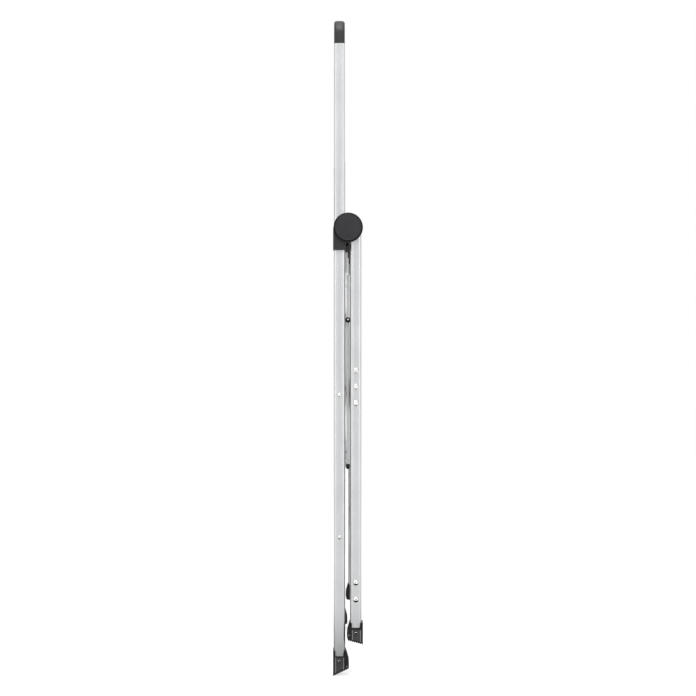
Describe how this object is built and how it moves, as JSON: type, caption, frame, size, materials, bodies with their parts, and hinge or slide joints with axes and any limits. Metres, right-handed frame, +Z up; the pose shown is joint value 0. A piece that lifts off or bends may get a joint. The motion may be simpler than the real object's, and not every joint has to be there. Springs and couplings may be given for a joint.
{
  "type": "folding stepladder",
  "caption": "Slim aluminium A-frame stepladder with a raised hand rail, shown folded flat; both frames, the steps and their tie rods unfold together.",
  "frame": {"origin": "under the middle of the folded ladder, at the height of the front feet's toes", "axes": "+Z up along the front legs, -Y the climbing side, +X the climber's right"},
  "size_m": [0.46, 0.0537, 1.184],
  "materials": {
    "leg_aluminium": "clear anodised extrusion, satin, fine drawing lines along it",
    "step_aluminium": "clear anodised extrusion, satin",
    "mat_rubber": "matt, ribbed",
    "foot_rubber": "matt moulded",
    "black_plastic": "fine moulded grain",
    "cap_plastic": "fine moulded grain",
    "rivet_steel": "domed, bright",
    "screw_steel": "dark zinc",
    "zinc_steel": "zinc plated, satin",
    "black_steel": "black powder coat, satin"
  },
  "bodies": {
    "root": {"right_front_leg": "leg_aluminium", "left_front_leg": "leg_aluminium", "right_handrail_post": "leg_aluminium", "left_handrail_post": "leg_aluminium", "right_handrail_corner": "black_plastic", "left_handrail_corner": "black_plastic", "right_hub_housing": "black_plastic", "left_hub_housing": "black_plastic", "right_hub_cap": "cap_plastic", "left_hub_cap": "cap_plastic", "right_hub_bolt": "screw_steel", "left_hub_bolt": "screw_steel", "right_front_foot": "foot_rubber", "left_front_foot": "foot_rubber", "right_front_foot_screw": "screw_steel", "left_front_foot_screw": "screw_steel", "right_top_step_pivot": "rivet_steel", "left_top_step_pivot": "rivet_steel", "right_middle_step_pivot": "rivet_steel", "left_middle_step_pivot": "rivet_steel", "right_bottom_step_pivot": "rivet_steel", "left_bottom_step_pivot": "rivet_steel", "handrail_bar": "leg_aluminium"},
    "rear_frame": {"right_rear_leg": "leg_aluminium", "left_rear_leg": "leg_aluminium", "right_rear_hinge_plate": "black_steel", "left_rear_hinge_plate": "black_steel", "right_link_pivot": "rivet_steel", "left_link_pivot": "rivet_steel", "right_rear_foot": "foot_rubber", "left_rear_foot": "foot_rubber", "right_rear_foot_screw": "screw_steel", "left_rear_foot_screw": "screw_steel", "right_upper_brace_top_rivet": "rivet_steel", "left_upper_brace_top_rivet": "rivet_steel", "right_upper_brace_bottom_rivet": "rivet_steel", "left_upper_brace_bottom_rivet": "rivet_steel", "right_lower_brace_top_rivet": "rivet_steel", "left_lower_brace_top_rivet": "rivet_steel", "right_lower_brace_bottom_rivet": "rivet_steel", "left_lower_brace_bottom_rivet": "rivet_steel", "upper_rear_brace": "leg_aluminium", "lower_rear_brace": "leg_aluminium"},
    "top_step": {"top_step": "step_aluminium", "top_step_mat": "mat_rubber"},
    "middle_step": {"middle_step": "step_aluminium", "middle_step_mat": "mat_rubber", "right_middle_step_bracket": "step_aluminium", "left_middle_step_bracket": "step_aluminium"},
    "bottom_step": {"bottom_step": "step_aluminium", "bottom_step_mat": "mat_rubber", "right_bottom_step_bracket": "step_aluminium", "left_bottom_step_bracket": "step_aluminium"},
    "tie_rods": {"right_tie_rod": "zinc_steel", "left_tie_rod": "zinc_steel", "lift_bar": "zinc_steel"},
    "right_link": {"right_side_link": "zinc_steel", "right_link_pin": "black_plastic"},
    "left_link": {"left_side_link": "zinc_steel", "left_link_pin": "black_plastic"}
  },
  "joints": [
    {"name": "rear_fold", "type": "hinge", "parent": "root", "child": "rear_frame", "pos_m": [0, 0.0005, 0.807], "axis": [1, 0, 0], "range_deg": [0, 40]},
    {"name": "top_step_swing", "type": "hinge", "parent": "root", "child": "top_step", "pos_m": [0, -0.01525, 0.771], "axis": [1, 0, 0], "range_deg": [-65, 0]},
    {"name": "middle_step_swing", "type": "hinge", "parent": "root", "child": "middle_step", "pos_m": [0, -0.01525, 0.505], "axis": [1, 0, 0], "range_deg": [-65, 0]},
    {"name": "bottom_step_swing", "type": "hinge", "parent": "root", "child": "bottom_step", "pos_m": [0, -0.01525, 0.249], "axis": [1, 0, 0], "range_deg": [-65, 0]},
    {"name": "tie_rod_swing", "type": "hinge", "parent": "middle_step", "child": "tie_rods", "pos_m": [0, 0.0003, 0.64112], "axis": [1, 0, 0], "range_deg": [0, 65]},
    {"name": "right_link_swing", "type": "hinge", "parent": "rear_frame", "child": "right_link", "pos_m": [0.19115, 0.0142, 0.549], "axis": [1, 0, 0], "range_deg": [0, 90]},
    {"name": "left_link_swing", "type": "hinge", "parent": "rear_frame", "child": "left_link", "pos_m": [-0.19115, 0.0142, 0.549], "axis": [1, 0, 0], "range_deg": [0, 90]}
  ],
  "couplings": [
    {"joint": "top_step_swing", "follows": "rear_fold", "ratio": -1.62},
    {"joint": "middle_step_swing", "follows": "rear_fold", "ratio": -1.62},
    {"joint": "bottom_step_swing", "follows": "rear_fold", "ratio": -1.62},
    {"joint": "tie_rod_swing", "follows": "rear_fold", "ratio": 1.62},
    {"joint": "right_link_swing", "follows": "rear_fold", "ratio": 2.2365},
    {"joint": "left_link_swing", "follows": "rear_fold", "ratio": 2.2365}
  ]
}
